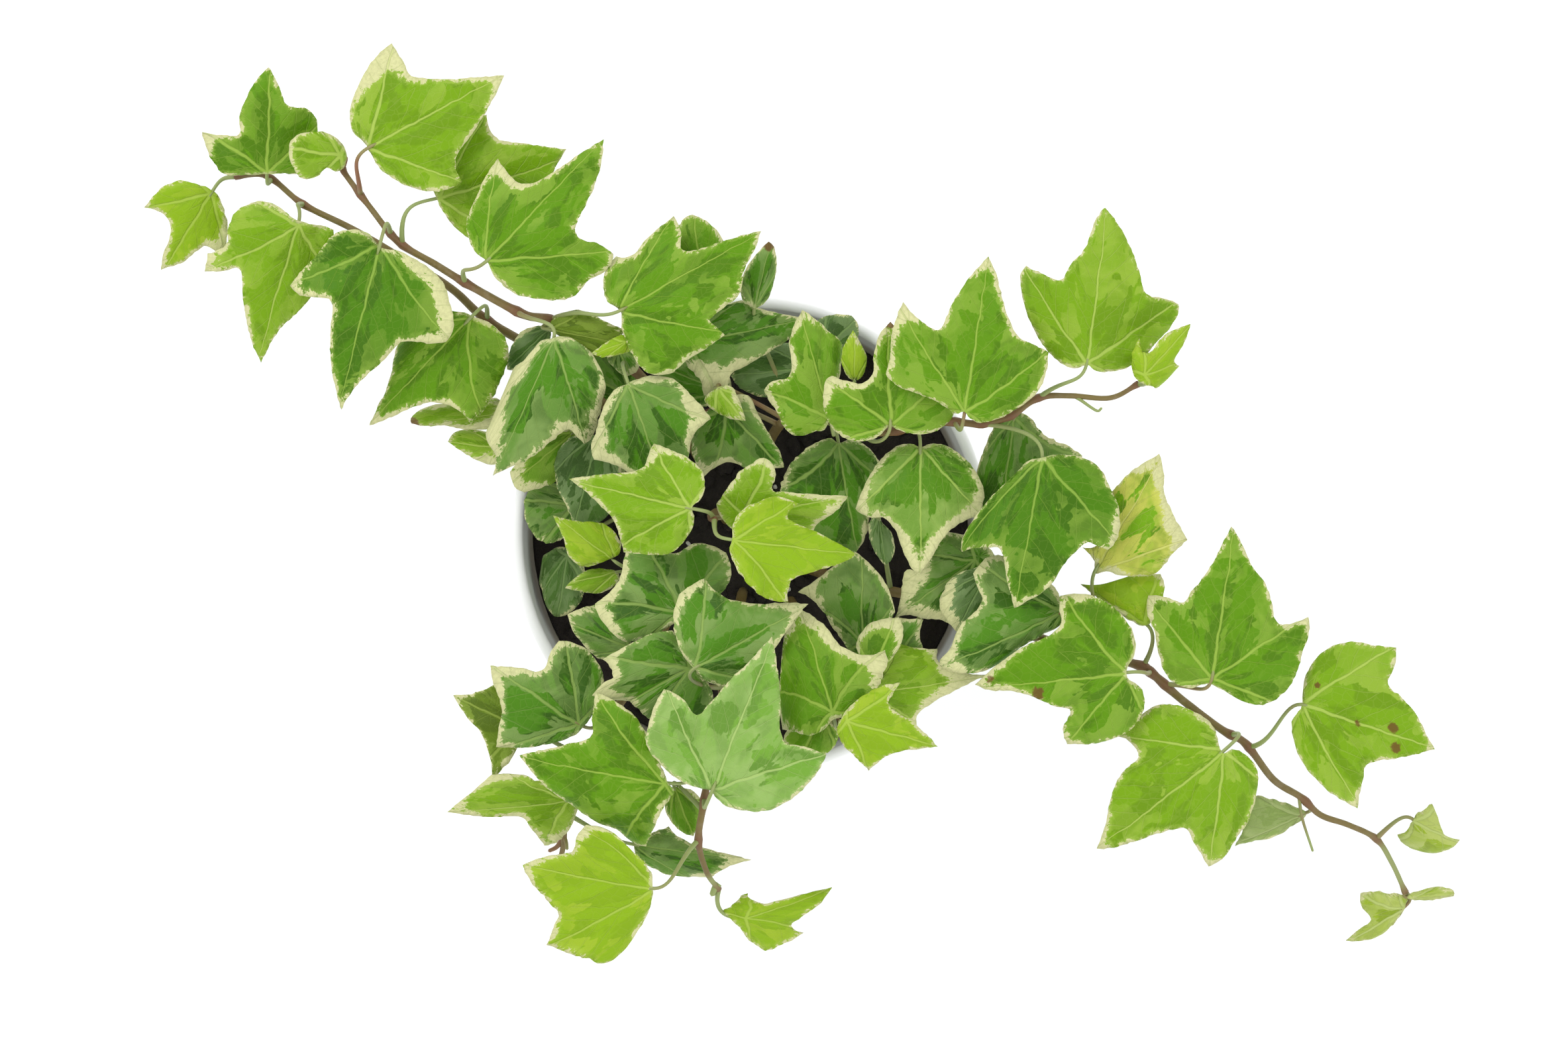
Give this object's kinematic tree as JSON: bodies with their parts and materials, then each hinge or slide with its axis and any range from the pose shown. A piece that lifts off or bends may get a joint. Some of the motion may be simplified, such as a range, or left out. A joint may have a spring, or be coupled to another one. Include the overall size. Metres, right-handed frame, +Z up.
{
  "type": "potted ivy",
  "caption": "Bushy variegated ivy with lobed leaves and trailing shoots, rooted in soil in a round tapering plastic pot with a lipped rim.",
  "frame": {"origin": "centre of the pot's flat underside, which stands on Z = 0", "axes": "+Z up along the pot's axis; +X to the side where the longest shoot hangs out; +Y towards the back, the side of the two vines that reach out to the left"},
  "size_m": [0.33, 0.2273, 0.1622],
  "materials": {
    "pot": "satin moulded white plastic",
    "soil": "crumbly dark potting mix",
    "stem": "olive-brown bark",
    "leaf_dark": "older green leaf with pale veins and a cream margin",
    "leaf_mid": "green leaf with pale veins and a cream margin",
    "leaf_light": "light green leaf with a cream margin",
    "leaf_lime": "young yellow-green leaf"
  },
  "bodies": {
    "root": {"pot": "pot", "soil": "soil", "back_left_upper_vine": "stem", "back_left_lower_vine": "stem", "back_right_vine": "stem", "front_right_vine": "stem", "front_vine": "stem", "front_left_vine": "stem", "centre_shoot": "stem", "front_shoot": "stem", "back_left_leaf_1": "leaf_light", "back_left_leaf_2": "leaf_light", "back_left_leaf_3": "leaf_light", "back_left_leaf_4": "leaf_lime", "back_left_leaf_5": "leaf_light", "back_left_leaf_6": "leaf_mid", "back_left_leaf_7": "leaf_light", "back_left_leaf_8": "leaf_mid", "back_left_leaf_9": "leaf_mid", "back_left_leaf_10": "leaf_dark", "back_leaf_1": "leaf_mid", "back_leaf_2": "leaf_dark", "back_leaf_3": "leaf_mid", "back_right_leaf_1": "leaf_mid", "back_right_leaf_2": "leaf_mid", "back_right_leaf_3": "leaf_light", "back_right_leaf_4": "leaf_lime", "back_right_leaf_5": "leaf_dark", "back_right_leaf_6": "leaf_dark", "back_right_leaf_7": "leaf_dark", "back_right_leaf_8": "leaf_dark", "front_right_leaf_1": "leaf_dark", "front_right_leaf_2": "leaf_lime", "front_right_leaf_3": "leaf_dark", "front_right_leaf_4": "leaf_dark", "front_right_leaf_5": "leaf_dark", "front_right_leaf_6": "leaf_mid", "front_right_leaf_7": "leaf_mid", "front_right_leaf_8": "leaf_mid", "front_right_leaf_9": "leaf_lime", "front_right_leaf_10": "leaf_lime", "front_right_leaf_11": "leaf_lime", "centre_leaf_1": "leaf_light", "centre_leaf_2": "leaf_lime", "centre_leaf_3": "leaf_mid", "centre_leaf_4": "leaf_dark", "centre_leaf_5": "leaf_dark", "centre_leaf_6": "leaf_dark", "centre_leaf_7": "leaf_dark", "front_leaf_1": "leaf_mid", "front_leaf_2": "leaf_mid", "front_leaf_3": "leaf_light", "front_leaf_4": "leaf_dark", "front_leaf_5": "leaf_lime", "front_leaf_6": "leaf_dark", "front_leaf_7": "leaf_mid", "front_leaf_8": "leaf_dark", "front_leaf_9": "leaf_light", "front_leaf_10": "leaf_lime", "front_leaf_11": "leaf_dark"}
  },
  "joints": []
}
